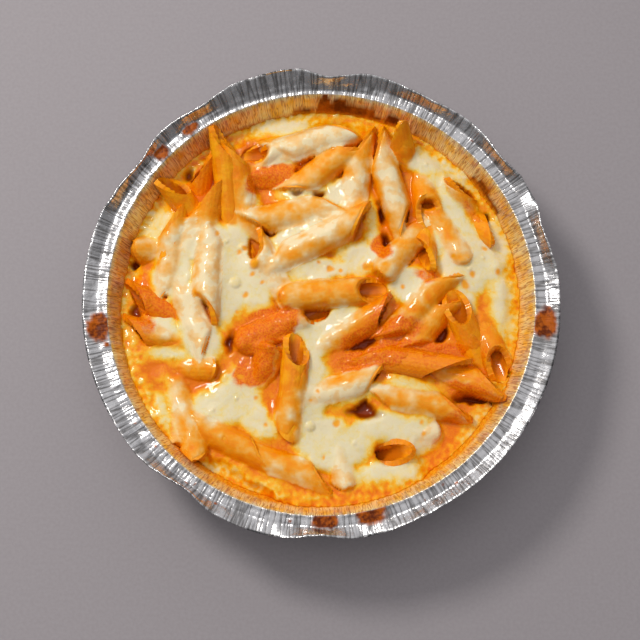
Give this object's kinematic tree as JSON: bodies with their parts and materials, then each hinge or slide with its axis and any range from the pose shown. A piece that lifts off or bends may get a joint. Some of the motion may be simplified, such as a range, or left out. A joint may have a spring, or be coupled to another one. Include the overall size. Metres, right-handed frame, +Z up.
{
  "type": "baked pasta in a foil tray",
  "caption": "Baked penne in a round foil tray, with melted cheese over the quills and a creamy tomato sauce.",
  "frame": {"origin": "centre of the tray's foot, on the surface that it stands on", "axes": "+Z up; +Y towards the side that lies far from a diner; round, so +X and +Y follow only the food's layout"},
  "size_m": [0.2019, 0.1995, 0.0472],
  "materials": {
    "foil": "bright, creased",
    "sauce": "oily, wet",
    "pasta": "glazed with sauce",
    "cheese": "smooth, melted"
  },
  "bodies": {
    "root": {"foil_tray": "foil", "tomato_cream_sauce": "sauce", "penne_heap": "pasta", "melted_cheese_far": "cheese", "melted_cheese_near": "cheese", "melted_cheese_left": "cheese"}
  },
  "joints": []
}
